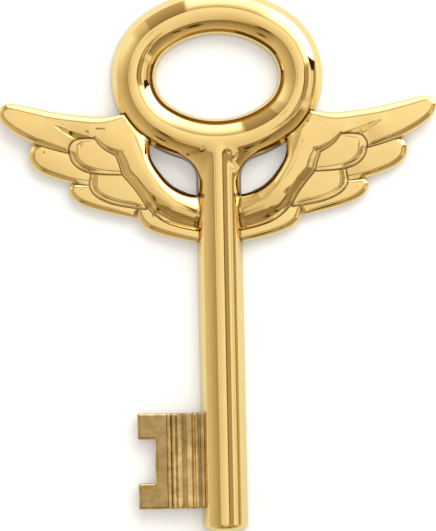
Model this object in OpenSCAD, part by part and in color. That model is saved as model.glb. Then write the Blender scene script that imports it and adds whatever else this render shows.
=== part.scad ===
// Decorative winged key with a flat back, fixed to a wall or a door by two tapped holes.
// Millimetres. X is to the viewer's right, Z is up, and the front faces -Y.
// The back lies on Y = 0, and the origin is midway between the two fixing holes.

/* [Bow] */
// Width of the opening in the bow
bow_opening_w = 45.1; // [42:0.1:50]
// Height of the opening in the bow
bow_opening_h = 30.9; // [29.5:0.1:35]
// Radius of the opening's two ends
bow_opening_end_r = 12.2; // [11.5:0.1:13.5]
// Width of the half-round band round the opening
bow_band_w = 16.7; // [15.5:0.1:17.5]
// Straight side at the foot of every half-round section
land = 0.8; // [0.4:0.1:1.5]

/* [Shank] */
// Width of the half-round shank
shank_w = 16.7; // [15:0.1:18]
// Length from the bow's centre to the shank's lower end
shank_len = 167.6; // [160:0.1:180]
// Rounding of the shank's lower end
shank_end_r = 2.6; // [1:0.1:5]
// Radius of the crotch between the bow and the shank
crotch_r = 5; // [3:0.1:7]
// Height of the web that fills each crotch
crotch_rise = 3.4; // [2:0.1:5]

/* [Fixing] */
// Distance between the two fixing holes
fixing_pitch = 128; // [120:0.5:132]
// Height of the bow's centre above the upper fixing hole
bow_above_fixing = 26.5; // [24.5:0.1:28]
// Tapping drill of the fixing holes
fixing_drill_d = 3.3; // [2.5:0.1:4.2]
// Depth of the fixing holes
fixing_depth = 6.5; // [4:0.1:7]

/* [Wings] */
// Reach of a wing from the shank's side to the tip
wing_reach = 72.4; // [66:0.1:80]
// Drop from the bow's centre to the foot of the root feather
wing_drop = 61.2; // [58:0.1:66]
// Height of the arm's face at the key's centre line
arm_rise = 8.2; // [7.4:0.1:9]
// Fall of the arm's face for each millimetre outwards
arm_fall = 0.045; // [0.035:0.001:0.05]
// Height of the upper covert's face
upper_covert_rise = 5.8; // [5:0.1:6.2]
// Height of the lower covert's face
lower_covert_rise = 5.2; // [4.6:0.1:5.8]
// Height of the middle primary's face
middle_primary_rise = 4.7; // [4.2:0.1:5.2]
// Height of the lower primary's face
lower_primary_rise = 4.2; // [4:0.1:4.8]
// Height of the root feather's face
root_feather_rise = 4.6; // [4.2:0.1:5.2]
// Upright side below the rolled edge of each feather
feather_side = 0.6; // [0.3:0.1:1]
// Depth of the leaf-shaped recess between the arm and the first feather
recess_depth = 0.9; // [0.4:0.1:1.4]
// Seam left between neighbouring cast pieces
seam = 0.1; // [0.05:0.01:0.2]

/* [Bit] */
// Drop from the bow's centre to the bit's upper edge
bit_drop = 123.9; // [118:0.1:128]
// Height of the bit
bit_h = 35.4; // [32:0.1:38]
// Height of each tooth
tooth_h = 9.6; // [8:0.1:11]
// Length of the teeth beyond the notch
tooth_len = 6.4; // [4:0.1:8]
// Reach of the fluted web from the shank's side
web_reach = 10.9; // [10:0.1:12]
// Reach of the tooth plate beyond the web
tooth_plate_reach = 12.6; // [11.5:0.1:15]
// Height of the web's ridges
web_rise = 5; // [4.5:0.1:5.5]
// Depth of the flutes in the web
flute_depth = 0.9; // [0.4:0.1:1.2]
// Width of the flute beside the shank
inner_flute_w = 3.3; // [2.5:0.1:3.8]
// Width of the flute beside the tooth plate
outer_flute_w = 5.0; // [4:0.1:5.4]
// Height of the tooth plate's face
tooth_plate_rise = 4.2; // [3.9:0.1:4.8]
// Width of the bead along the tooth plate's inner edge
bead_w = 1.7; // [1:0.1:2.2]
// Width of the sloping edge round the tooth plate
tooth_rim = 0.9; // [0.4:0.1:1.4]

/* [Back plates] */
// Thickness of the back plates
plate_t = 1.5; // [1.2:0.1:1.8]
// Setback of the back plates from the edges in front of them
plate_inset = 1.2; // [0.8:0.1:1.6]
// Width of each tab that is let into the back of the bow or shank
tab_w = 15; // [13:0.1:16]
// Depth of the tab under the bow's flank
bow_tab_reach = 7.4; // [7:0.1:8]
// Width of the tab under the bow's flank
bow_tab_w = 8.5; // [7.5:0.1:9]
// Distance from the bit's upper edge down to its tab
bit_tab_drop = 4.2; // [3:0.1:6]
// Clearance round each tab in its pocket
tab_gap = 0.15; // [0.1:0.01:0.3]

/* [Screws] */
// Thread of the plate screws
plate_screw_d = 3; // [2.5:0.1:3]
// Head of the plate screws
plate_screw_head_d = 5.5; // [5:0.1:5.6]
// Length of the plate screws with their heads
plate_screw_len = 5.6; // [4:0.1:6]
// Distance between the two plate screws in a tab
plate_screw_pitch = 8; // [7:0.1:8.6]
// Thread of the feather screws
feather_screw_d = 2; // [1.6:0.1:2.2]
// Head of the feather screws
feather_screw_head_d = 3.8; // [3.4:0.1:4]
// Length of the feather screws with their heads
feather_screw_len = 3.3; // [3:0.1:3.5]
// Distance from the bit's edges to the screws of its web
web_screw_inset = 5; // [4:0.1:8]
// Clearance round the screws
screw_gap = 0.05; // [0.02:0.01:0.1]

/* [Hidden] */
$fn = 48;
gold = [0.93, 0.76, 0.42];
deep_gold = [0.80, 0.62, 0.32];
plate_brass = [0.78, 0.66, 0.38];
screw_brass = [0.70, 0.60, 0.36];

// How far a cutter runs past the face that it opens
past = 1;

bow_z = fixing_pitch / 2 + bow_above_fixing;
band_r = bow_band_w / 2;
shank_r = shank_w / 2;
shank_end_z = bow_z - shank_len;

// The bow is a four-centred oval. Its arcs are given on the middle line of the band.
opening_a = bow_opening_w / 2;
opening_b = bow_opening_h / 2;
opening_side_r = (opening_a ^ 2 + opening_b ^ 2 - 2 * opening_a * bow_opening_end_r)
    / (2 * (opening_b - bow_opening_end_r));
end_centre_x = opening_a - bow_opening_end_r;
side_centre_z = opening_side_r - opening_b;
end_path_r = bow_opening_end_r + band_r;
side_path_r = opening_side_r + band_r;
oval_joint = atan2(side_centre_z, end_centre_x);

// A point on the bow's outer edge, at the angle of its normal below the horizontal
function bow_edge(angle, out = 0) = abs(sin(angle)) < sin(oval_joint)
    ? [sign(cos(angle)) * end_centre_x, bow_z]
        + (end_path_r + band_r + out) * [cos(angle), -sin(angle)]
    : [0, bow_z + sign(sin(angle)) * side_centre_z]
        + (side_path_r + band_r + out) * [cos(angle), -sin(angle)];

// A wing is drawn for the right side at this reach and drop, and stretched to the ones set above.
drawn_reach = 72.4;
drawn_drop = 61.2;
function wing_point(p) = [
    shank_r + seam + p[0] * wing_reach / drawn_reach,
    bow_z - p[1] * wing_drop / drawn_drop,
    p[2]
];

// Each point is the distance out from the wing's seat on the shank, the distance below the bow's
// centre and the width of the rolled edge there. The outlines run clockwise, seen from the front.
arm_inner_edge = [
    [4.1, 42.3, 1.8], [8.7, 39.8, 1.8], [13.1, 35.1, 1.8], [16.4, 29.4, 1.8]
];
arm_leading_edge = [
    [34, 14.1, 2.0], [42, 13.5, 2.1], [52, 12.0, 2.1], [61.7, 9.8, 2.0], [68.3, 8.5, 1.7],
    [71.6, 9.9, 1.5], [72.4, 12.4, 1.5], [70.9, 15.8, 1.8], [66.8, 19.4, 2.1],
    [60.2, 23.1, 2.1], [53.7, 25.5, 1.9], [46.6, 27.5, 1.4]
];
covert_shoulder = [
    [46.6, 27.5, 3.1], [46.5, 25.3, 3.0], [45.6, 23.5, 2.6], [44.0, 22.3, 1.8],
    [40.6, 21.9, 1.0], [37.1, 22.0, 0.6]
];
arm_step = [[37.1, 22.0, 0.9], [35.0, 24.9, 1.1], [32.3, 27.0, 1.6], [29.4, 28.6, 2.8]];
arm_foot = [
    [29.4, 28.6, 2.8], [28.2, 32.1, 3.2], [27.1, 35.7, 3.2], [24.1, 39.3, 3.2],
    [21.0, 43.5, 3.2], [19.0, 46.8, 3.2], [15.8, 50.5, 3.2], [11.4, 53.6, 3.0],
    [6.9, 55.3, 2.8]
];
upper_covert_rim = [
    [46.6, 27.5, 3.1], [45.9, 30.0, 3.0], [44.1, 32.3, 2.8], [41.3, 34.1, 2.5],
    [37.6, 35.1, 2.2], [32.6, 35.6, 1.5], [26.6, 35.8, 1.2]
];
upper_covert_hidden = [[26.6, 35.8, 0.5], [26.0, 31.0, 0.5], [32.0, 24.5, 0.5]];
lower_covert_rim = [
    [36.0, 29.5, 0.8], [38.8, 32.4, 1.8], [39.0, 35.8, 2.7], [39.5, 38.9, 2.9], [38.9, 41.1, 2.7],
    [37.0, 43.5, 2.4], [33.1, 45.7, 2.3], [28.6, 47.1, 2.3], [23.1, 48.1, 2.2],
    [18.2, 48.7, 0.8]
];
lower_covert_hidden = [[18.2, 48.7, 0.8], [18.6, 43.5, 0.5], [27.0, 33.0, 0.5]];
middle_primary_rim = [
    [55.6, 21.8, 2.0], [59.6, 23.6, 2.0], [61.2, 25.6, 2.0], [61.6, 27.9, 2.0],
    [61.0, 30.6, 2.0], [59.1, 33.0, 2.0], [56.1, 34.9, 2.0], [52.4, 36.4, 2.0],
    [47.6, 37.9, 1.9], [43.1, 38.9, 1.8], [36.6, 39.6, 1.6]
];
middle_primary_hidden = [[36.6, 39.6, 0.5], [38.0, 30.0, 0.5], [45.0, 24.0, 0.5]];
lower_primary_rim = [
    [36.0, 40.6, 0.8], [41.0, 39.5, 1.1], [45.2, 38.8, 1.2], [46.8, 40.2, 1.2],
    [46.6, 42.4, 1.6], [44.9, 44.8, 1.7], [41.4, 46.8, 1.7], [36.2, 48.6, 1.7],
    [29.6, 50.3, 1.6], [22.8, 51.6, 0.8]
];
lower_primary_hidden = [[22.8, 51.6, 0.8], [21.0, 48.0, 0.5], [28.0, 43.0, 0.5]];
root_feather_rim = [
    [20.0, 45.0, 0.6], [22.0, 47.6, 1.2], [22.2, 50.2, 1.9], [21.5, 52.7, 2.0],
    [19.7, 54.9, 2.0], [17.0, 56.6, 2.0], [13.2, 58.1, 2.0], [8.6, 59.3, 1.7],
    [4.1, 60.3, 1.2]
];
recess_upper_line = [[52.4, 16.6, 0], [44.6, 19.4, 0], [38.4, 21.4, 0], [37.0, 22.7, 0]];
recess_lower_line = [[44.3, 22.9, 0], [48.8, 20.0, 0], [52.4, 16.6, 0]];

spline_steps = 3;
function spline_at(a, b, c, d, t) = 0.5 * (2 * b + (c - a) * t
    + (2 * a - 5 * b + 4 * c - d) * t ^ 2 + (3 * b - a - 3 * c + d) * t ^ 3);
// A smooth curve through the points, without its last point
function spline(p) = [
    for (i = [0 : len(p) - 2]) for (k = [0 : spline_steps - 1])
        spline_at(p[max(i - 1, 0)], p[i], p[i + 1], p[min(i + 2, len(p) - 1)], k / spline_steps)
];
function placed(points) = [for (p = points) wing_point(p)];

// Where the arm lies against the bow, between the two angles of the bow's normal
bow_seat_low = 55;
bow_seat_high = 30;
bow_seat_steps = 7;
bow_seat_roll = 1.8;
bow_seat = [
    for (k = [0 : bow_seat_steps])
        let (p = bow_edge(bow_seat_low + (bow_seat_high - bow_seat_low) * k / bow_seat_steps, seam))
            [p[0], p[1], bow_seat_roll]
];
arm_top_at_shank = wing_point([0, 43.6, 0.8]);
arm_foot_at_shank = wing_point([0, 56.8, 0.8]);
root_top_at_shank = wing_point([0, 56.0, 0.8]);
root_foot_at_shank = wing_point([0, 61.2, 0.8]);

arm_outline = concat(
    spline(concat([arm_top_at_shank], placed(arm_inner_edge), [bow_seat[0]])),
    [for (k = [0 : bow_seat_steps - 1]) bow_seat[k]],
    spline(concat([bow_seat[bow_seat_steps]], placed(arm_leading_edge))),
    spline(placed([for (p = covert_shoulder) [p[0], p[1], 0.4]])),
    spline(placed(arm_step)),
    spline(concat(placed(arm_foot), [arm_foot_at_shank])),
    [arm_foot_at_shank]
);
upper_covert_outline = concat(
    spline(concat(placed([for (k = [len(covert_shoulder) - 1 : -1 : 1]) covert_shoulder[k]]),
        placed(upper_covert_rim))),
    placed(upper_covert_hidden)
);
lower_covert_outline = concat(spline(placed(lower_covert_rim)), placed(lower_covert_hidden));
middle_primary_outline = concat(spline(placed(middle_primary_rim)), placed(middle_primary_hidden));
lower_primary_outline = concat(spline(placed(lower_primary_rim)), placed(lower_primary_hidden));
root_feather_outline = concat(
    spline(concat(placed(root_feather_rim), [root_foot_at_shank])),
    [root_foot_at_shank, root_top_at_shank],
    placed([[12.0, 50.5, 0.5]])
);

function flat(outline) = [for (p = outline) [p[0], p[1]]];
function unit(v) = v / norm(v);
function left_of(v) = [-v[1], v[0]];

// The inward step at point i that draws a closed clockwise outline in by one unit of width
function inward(outline, i) =
    let (
        n = len(outline),
        here = outline[i],
        before = outline[(i + n - 1) % n],
        after = outline[(i + 1) % n],
        a = -left_of(unit([here[0] - before[0], here[1] - before[1]])),
        b = -left_of(unit([after[0] - here[0], after[1] - here[1]]))
    )
    (a + b) / max(1 + a * b, 0.5);

// A cast piece with a rolled edge. It stands on the back plate, and its face is a flat plane
// at the height rise, which may fall away outwards by fall for each millimetre of X.
// The rolled form is made too tall at both ends, and a slab cuts its back and its face flat.
roll_steps = 3;
roll_end = 75;
roll_at_face = 65;
module cast_piece(outline, rise, fall = 0) {
    n = len(outline);
    foot = plate_t + feather_side;
    far = shank_r + wing_reach + past;
    steps = [for (i = [0 : n - 1]) inward(outline, i)];
    rolled = [
        for (k = [0 : roll_steps]) for (i = [0 : n - 1])
            let (
                angle = roll_end * k / roll_steps,
                move = outline[i][2] * (1 - cos(angle)) / (1 - cos(roll_end)),
                x = outline[i][0] + steps[i][0] * move,
                z = outline[i][1] + steps[i][1] * move,
                climb = (rise - fall * x - foot) * sin(angle) / sin(roll_at_face)
            )
            [x, -foot - climb, z]
    ];
    last = n * (roll_steps + 1);
    intersection() {
        polyhedron(
            concat([for (p = outline) [p[0], past - plate_t, p[1]]], rolled),
            concat(
                [[for (i = [0 : n - 1]) i]],
                [for (k = [0 : roll_steps]) for (i = [0 : n - 1])
                    [k * n + (i + 1) % n, k * n + i, (k + 1) * n + i, (k + 1) * n + (i + 1) % n]],
                [[for (i = [n - 1 : -1 : 0]) last + i]]
            )
        );
        translate([0, 0, shank_end_z]) linear_extrude(shank_len)
            polygon([[0, -plate_t], [0, -rise], [far, fall * far - rise], [far, -plate_t]]);
    }
}

// The space that neighbouring pieces take from this one, with the seam round them
module neighbours(outlines) {
    translate([0, past, 0]) rotate([90, 0, 0]) linear_extrude(past + arm_rise)
        offset(delta = seam) for (outline = outlines) polygon(flat(outline));
}

screw_flat_rim = 0.2;
screw_tip_gap = 0.3;

// A countersunk screw from the back, at [x, z]
module screw(at, d, head_d, length) {
    taper = (head_d - d) / 2;
    slot_w = d / 4;
    translate([at[0], 0, at[1]]) rotate([90, 0, 0]) difference() {
        union() {
            cylinder(h = length, d = d);
            cylinder(h = screw_flat_rim, d = head_d);
            translate([0, 0, screw_flat_rim]) cylinder(h = taper, d1 = head_d, d2 = d);
        }
        translate([-head_d, -slot_w / 2, -past]) cube([2 * head_d, slot_w, past + taper / 2]);
    }
}

// The hole that a screw needs, with its countersink
module screw_hole(at, d, head_d, length) {
    taper = (head_d - d) / 2;
    hole_d = d + 2 * screw_gap;
    sink_d = head_d + 2 * screw_gap;
    translate([at[0], past, at[1]]) rotate([90, 0, 0]) {
        cylinder(h = past + length + screw_tip_gap, d = hole_d);
        cylinder(h = past + screw_flat_rim, d = sink_d);
        translate([0, 0, past + screw_flat_rim]) cylinder(h = taper, d1 = sink_d, d2 = hole_d);
    }
}

module plate_screw(at) screw(at, plate_screw_d, plate_screw_head_d, plate_screw_len);
module plate_screw_hole(at) screw_hole(at, plate_screw_d, plate_screw_head_d, plate_screw_len);
module feather_screw(at) screw(at, feather_screw_d, feather_screw_head_d, feather_screw_len);
module feather_screw_hole(at)
    screw_hole(at, feather_screw_d, feather_screw_head_d, feather_screw_len);

// Screw places, in the wing's own measures: distance out and distance below the bow's centre
arm_screws = placed([[5.6, 50.0], [22.6, 31.5], [37.6, 18.2], [55.6, 16.0]]);
upper_covert_screws = placed([[33.1, 32.0], [41.4, 27.0]]);
lower_covert_screws = placed([[26.1, 43.2], [33.8, 40.5]]);
middle_primary_screws = placed([[45.6, 33.5], [55.1, 30.0]]);
lower_primary_screws = placed([[41.5, 42.7]]);
root_feather_screws = placed([[13.9, 54.6]]);
wing_feather_screws = concat(arm_screws, upper_covert_screws, lower_covert_screws,
    middle_primary_screws, lower_primary_screws, root_feather_screws);

// The tabs of the back plates, and how far each one runs in under its own plate
tab_root = 2;
tab_screw_margin = 0.35;
wing_tab_z = (arm_top_at_shank[1] + root_foot_at_shank[1]) / 2;
tab_screw_x = shank_r / 2;
bow_tab_angle = 43;
bow_tab_screw_inset = bow_tab_reach - plate_screw_head_d / 2 - tab_screw_margin;
wing_plate_screws = [
    [tab_screw_x, wing_tab_z + plate_screw_pitch / 2],
    [tab_screw_x, wing_tab_z - plate_screw_pitch / 2],
    bow_edge(bow_tab_angle, -bow_tab_screw_inset)
];

bit_top_z = bow_z - bit_drop;
bit_low_z = bit_top_z - bit_h;
bit_tab_z = bit_top_z - bit_tab_drop - tab_w / 2;
web_x = -(shank_r + web_reach);
tooth_root_x = web_x - seam;
tooth_end_x = web_x - tooth_plate_reach;
notch_x = tooth_end_x + tooth_len;
flute_margin = 0.4;
ridge_x = -(shank_r + (inner_flute_w + seam + web_reach - flute_margin - outer_flute_w) / 2);
bit_plate_screws = [
    [-tab_screw_x, bit_tab_z + plate_screw_pitch / 2],
    [-tab_screw_x, bit_tab_z - plate_screw_pitch / 2]
];
web_screws = [[ridge_x, bit_top_z - web_screw_inset], [ridge_x, bit_low_z + web_screw_inset]];
tooth_screw_x = (tooth_end_x + tooth_root_x) / 2;
tooth_screws = [
    [tooth_screw_x, bit_top_z - tooth_h / 2],
    [tooth_screw_x, bit_low_z + tooth_h / 2]
];

// A tab let into the back of the shank, from the middle outwards to the right
module shank_tab(gap = 0) {
    translate([tab_gap - gap, -tab_w / 2 - gap])
        square([shank_r + plate_inset + tab_root, tab_w + 2 * gap]);
}

// A tab let into the back of the bow's flank
module bow_tab(gap = 0) {
    translate([end_centre_x, bow_z]) rotate(-bow_tab_angle)
        translate([end_path_r + band_r - bow_tab_reach - gap, -bow_tab_w / 2 - gap])
            square([bow_tab_reach + plate_inset + tab_root, bow_tab_w + 2 * gap]);
}

// The half-round section as [outwards, forwards] points, from the inner foot to the outer foot
band_steps = 12;
band_section = concat(
    [[-band_r, 0]],
    [for (k = [0 : band_steps]) [-band_r * cos(180 * k / band_steps),
        land + band_r * sin(180 * k / band_steps)]],
    [[band_r, 0]]
);

// The bow is the half-round section, swept round the oval
bow_steps = 72;
module bow() {
    n = len(band_section);
    ring = [
        for (k = [0 : bow_steps - 1]) for (p = band_section)
            let (edge = bow_edge(-360 * k / bow_steps, p[0] - band_r)) [edge[0], -p[1], edge[1]]
    ];
    polyhedron(ring, [
        for (k = [0 : bow_steps - 1]) for (i = [0 : n - 1])
            let (next = (k + 1) % bow_steps * n, here = k * n, j = (i + 1) % n)
                [here + i, next + i, next + j, here + j]
    ]);
}

// A low web with a round edge fills each crotch between the bow and the shank
module crotches() {
    x = shank_r + crotch_r;
    reach = side_path_r + band_r + crotch_r;
    drop = sqrt(reach ^ 2 - x ^ 2);
    middle = (reach - crotch_r - band_r / 2) / reach;
    for (side = [0, 1]) mirror([side, 0, 0])
        rotate([90, 0, 0]) linear_extrude(crotch_rise) difference() {
            polygon([
                [shank_r / 2, bow_z + side_centre_z - drop],
                [x, bow_z + side_centre_z - drop],
                [x * middle, bow_z + side_centre_z - drop * middle],
                [shank_r / 2, bow_z - opening_b - band_r]
            ]);
            translate([x, bow_z + side_centre_z - drop]) circle(r = crotch_r);
        }
}

module shank() {
    top_z = bow_z - opening_b - band_r - 2 * max(shank_r - band_r, 0);
    translate([0, -land, shank_end_z]) rotate([0, 0, 180]) rotate_extrude(angle = 180) {
        translate([0, shank_end_r]) square([shank_r, top_z - shank_end_z - shank_end_r]);
        square([shank_r - shank_end_r, shank_end_r]);
        translate([shank_r - shank_end_r, shank_end_r]) intersection() {
            circle(r = shank_end_r);
            translate([0, -shank_end_r]) square(shank_end_r);
        }
    }
    translate([0, -land, top_z]) intersection() {
        sphere(r = shank_r);
        translate([-shank_r, -shank_r, 0]) cube([shank_w, shank_r, shank_r]);
    }
    rotate([90, 0, 0]) linear_extrude(land) {
        translate([-shank_r, shank_end_z + shank_end_r])
            square([shank_w, top_z - shank_end_z - shank_end_r]);
        translate([-shank_r + shank_end_r, shank_end_z])
            square([shank_w - 2 * shank_end_r, 2 * shank_end_r]);
        for (side = [-1, 1])
            translate([side * (shank_r - shank_end_r), shank_end_z + shank_end_r])
                circle(r = shank_end_r);
    }
}

module pocket() {
    translate([0, past, 0]) rotate([90, 0, 0]) linear_extrude(past + plate_t + tab_gap) children();
}

module bow_and_shank() {
    color(gold) difference() {
        union() {
            bow();
            crotches();
            shank();
        }
        for (side = [0, 1]) mirror([side, 0, 0]) {
            pocket() translate([0, wing_tab_z]) shank_tab(tab_gap);
            pocket() bow_tab(tab_gap);
            for (at = wing_plate_screws) plate_screw_hole(at);
        }
        pocket() translate([0, bit_tab_z]) rotate(180) shank_tab(tab_gap);
        for (at = bit_plate_screws) plate_screw_hole(at);
        for (side = [-1, 1])
            translate([0, past, side * fixing_pitch / 2]) rotate([90, 0, 0])
                cylinder(h = past + fixing_depth, d = fixing_drill_d);
    }
}

module wing_arm() {
    recess_floor = arm_rise - arm_fall * wing_point(recess_upper_line[1])[0] - recess_depth;
    color(gold) difference() {
        cast_piece(arm_outline, arm_rise, arm_fall);
        translate([0, -recess_floor, 0]) rotate([90, 0, 0]) linear_extrude(arm_rise)
            polygon(flat(concat(spline(placed(recess_upper_line)),
                spline(placed(concat([recess_upper_line[3]], recess_lower_line))))));
        for (at = arm_screws) feather_screw_hole(at);
    }
}

module upper_covert() {
    color(gold) difference() {
        cast_piece(upper_covert_outline, upper_covert_rise);
        neighbours([arm_outline]);
        for (at = upper_covert_screws) feather_screw_hole(at);
    }
}

module lower_covert() {
    color(gold) difference() {
        cast_piece(lower_covert_outline, lower_covert_rise);
        neighbours([arm_outline, upper_covert_outline]);
        for (at = lower_covert_screws) feather_screw_hole(at);
    }
}

module middle_primary() {
    color(gold) difference() {
        cast_piece(middle_primary_outline, middle_primary_rise);
        neighbours([arm_outline, upper_covert_outline, lower_covert_outline]);
        for (at = middle_primary_screws) feather_screw_hole(at);
    }
}

module lower_primary() {
    color(gold) difference() {
        cast_piece(lower_primary_outline, lower_primary_rise);
        neighbours([lower_covert_outline, middle_primary_outline]);
        for (at = lower_primary_screws) feather_screw_hole(at);
    }
}

module root_feather() {
    color(gold) difference() {
        cast_piece(root_feather_outline, root_feather_rise);
        neighbours([arm_outline, lower_covert_outline, lower_primary_outline]);
        for (at = root_feather_screws) feather_screw_hole(at);
    }
}

module wing_plate() {
    color(plate_brass) difference() {
        rotate([90, 0, 0]) linear_extrude(plate_t) {
            offset(delta = -plate_inset) {
                polygon(flat(arm_outline));
                polygon(flat(upper_covert_outline));
                polygon(flat(lower_covert_outline));
                polygon(flat(middle_primary_outline));
                polygon(flat(lower_primary_outline));
                polygon(flat(root_feather_outline));
            }
            translate([0, wing_tab_z]) shank_tab();
            bow_tab();
        }
        for (at = wing_plate_screws) plate_screw_hole(at);
        for (at = wing_feather_screws) feather_screw_hole(at);
    }
}

module flute(middle, w) {
    r = (w ^ 2 / 4 + flute_depth ^ 2) / (2 * flute_depth);
    translate([-(shank_r + middle), -(web_rise + r - flute_depth)]) circle(r = r, $fn = 96);
}

module bit_web() {
    cope = shank_r / 4;
    color(deep_gold) difference() {
        translate([0, 0, bit_low_z]) linear_extrude(bit_h) difference() {
            translate([web_x, -web_rise]) square([web_reach + cope, web_rise - plate_t]);
            flute(seam + inner_flute_w / 2, inner_flute_w);
            flute(web_reach - flute_margin - outer_flute_w / 2, outer_flute_w);
        }
        translate([0, -land, bit_low_z - past]) {
            cylinder(h = bit_h + 2 * past, r = shank_r + seam, $fn = 96);
            translate([-shank_r - seam, 0, 0]) cube([shank_r, land + past, bit_h + 2 * past]);
        }
        for (at = web_screws) feather_screw_hole(at);
    }
}

// A bar with bevelled edges between two corners, standing on the back plate
module bevelled_bar(low, high) {
    module sides(from, to)
        polygon([
            [from, plate_t], [to, plate_t], [to, tooth_plate_rise - tooth_rim],
            [to - tooth_rim, tooth_plate_rise], [from + tooth_rim, tooth_plate_rise],
            [from, tooth_plate_rise - tooth_rim]
        ]);
    intersection() {
        translate([0, 0, low[1] - past]) linear_extrude(high[1] - low[1] + 2 * past)
            mirror([0, 1]) sides(low[0], high[0]);
        translate([low[0] - past, 0, 0]) rotate([90, 0, 90])
            linear_extrude(high[0] - low[0] + 2 * past)
                rotate(90) sides(low[1], high[1]);
    }
}

module bit_tooth_plate() {
    color(deep_gold) difference() {
        union() {
            bevelled_bar([notch_x, bit_low_z], [tooth_root_x, bit_top_z]);
            bevelled_bar([tooth_end_x, bit_low_z], [tooth_root_x, bit_low_z + tooth_h]);
            bevelled_bar([tooth_end_x, bit_top_z - tooth_h], [tooth_root_x, bit_top_z]);
            translate([tooth_root_x - bead_w / 2, -tooth_plate_rise + bead_w / 4, bit_low_z + tooth_rim])
                cylinder(h = bit_h - 2 * tooth_rim, d = bead_w);
        }
        for (at = tooth_screws) feather_screw_hole(at);
    }
}

module bit_back_plate() {
    color(plate_brass) difference() {
        rotate([90, 0, 0]) linear_extrude(plate_t) {
            offset(delta = -plate_inset) {
                difference() {
                    translate([tooth_end_x, bit_low_z])
                        square([tooth_plate_reach + web_reach - seam, bit_h]);
                    translate([tooth_end_x - past, bit_low_z + tooth_h])
                        square([tooth_len + past, bit_h - 2 * tooth_h]);
                }
            }
            translate([0, bit_tab_z]) rotate(180) shank_tab();
        }
        for (at = bit_plate_screws) plate_screw_hole(at);
        for (at = concat(web_screws, tooth_screws)) feather_screw_hole(at);
    }
}

module plate_screws() {
    color(screw_brass) {
        for (side = [0, 1]) mirror([side, 0, 0]) for (at = wing_plate_screws) plate_screw(at);
        for (at = bit_plate_screws) plate_screw(at);
    }
}

module feather_screws() {
    color(screw_brass) {
        for (side = [0, 1]) mirror([side, 0, 0]) for (at = wing_feather_screws) feather_screw(at);
        for (at = concat(web_screws, tooth_screws)) feather_screw(at);
    }
}

module left() mirror([1, 0, 0]) children();
module left_wing_plate() left() wing_plate();
module left_wing_arm() left() wing_arm();
module left_upper_covert() left() upper_covert();
module left_lower_covert() left() lower_covert();
module left_middle_primary() left() middle_primary();
module left_lower_primary() left() lower_primary();
module left_root_feather() left() root_feather();
module right_wing_plate() wing_plate();
module right_wing_arm() wing_arm();
module right_upper_covert() upper_covert();
module right_lower_covert() lower_covert();
module right_middle_primary() middle_primary();
module right_lower_primary() lower_primary();
module right_root_feather() root_feather();

bow_and_shank();
bit_web();
bit_tooth_plate();
bit_back_plate();
left_wing_plate();
left_wing_arm();
left_upper_covert();
left_lower_covert();
left_middle_primary();
left_lower_primary();
left_root_feather();
right_wing_plate();
right_wing_arm();
right_upper_covert();
right_lower_covert();
right_middle_primary();
right_lower_primary();
right_root_feather();
plate_screws();
feather_screws();
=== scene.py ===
import math

import bmesh
import bpy
import numpy as np
from mathutils import Matrix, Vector
from mathutils.geometry import delaunay_2d_cdt


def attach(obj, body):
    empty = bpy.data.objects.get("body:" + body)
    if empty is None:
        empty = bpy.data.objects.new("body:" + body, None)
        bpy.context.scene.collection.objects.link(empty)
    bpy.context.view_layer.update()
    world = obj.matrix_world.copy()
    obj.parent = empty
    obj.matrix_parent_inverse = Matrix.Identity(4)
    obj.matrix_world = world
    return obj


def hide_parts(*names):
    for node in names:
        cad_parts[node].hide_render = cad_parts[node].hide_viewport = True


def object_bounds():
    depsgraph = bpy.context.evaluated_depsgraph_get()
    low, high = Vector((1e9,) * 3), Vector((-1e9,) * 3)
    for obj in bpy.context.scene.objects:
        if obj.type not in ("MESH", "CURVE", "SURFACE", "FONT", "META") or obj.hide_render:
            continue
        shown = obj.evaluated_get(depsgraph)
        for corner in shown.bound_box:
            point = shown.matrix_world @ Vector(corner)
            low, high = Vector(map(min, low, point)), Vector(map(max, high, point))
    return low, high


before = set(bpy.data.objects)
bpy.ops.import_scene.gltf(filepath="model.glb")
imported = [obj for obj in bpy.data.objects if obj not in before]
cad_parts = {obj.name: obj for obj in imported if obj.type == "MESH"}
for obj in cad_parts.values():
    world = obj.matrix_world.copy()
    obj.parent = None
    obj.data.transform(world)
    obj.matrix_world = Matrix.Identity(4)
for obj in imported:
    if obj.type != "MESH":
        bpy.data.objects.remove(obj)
cad_low, cad_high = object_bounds()

# The bow and the shank.
# One brass casting, gold-plated and polished to a mirror. The half-round ring runs into the
# half-round shank, and the back is flat, with pockets for the plates' tabs and tapped holes.
MM = 0.001
OPENING_W = 45.1
OPENING_H = 30.9
OPENING_END_R = 12.2
BAND_R = 8.35
SHANK_R = 8.35
SHANK_LEN = 167.6
SHANK_END_R = 2.6
LAND = 0.8
CROTCH_R = 5.0
CROTCH_BLEND = 5.6
CROTCH_LEAST = 0.7
CROTCH_CLIMB = 1.8 * BAND_R
CREST_FADE = 3.0
CREST_TRIM = 0.003
SEAM = 0.1
FLANK_START = 0.74
FLANK_SLOPE = 1.12
LIP = 0.87

BOW_Z = cad_high[2] / MM - OPENING_H / 2 - 2 * BAND_R
SHANK_END_Z = BOW_Z - SHANK_LEN
CREST_Z = BOW_Z - OPENING_H / 2 - BAND_R

# The bow is a four-centred oval. These are the arcs of its opening, and the band lies round them.
SIDE_R = ((OPENING_W / 2) ** 2 + (OPENING_H / 2) ** 2 - OPENING_W * OPENING_END_R) \
    / (OPENING_H - 2 * OPENING_END_R)
END_X = OPENING_W / 2 - OPENING_END_R
SIDE_Z = SIDE_R - OPENING_H / 2
JOINT_ANGLE = math.atan2(SIDE_Z, END_X)


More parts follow.
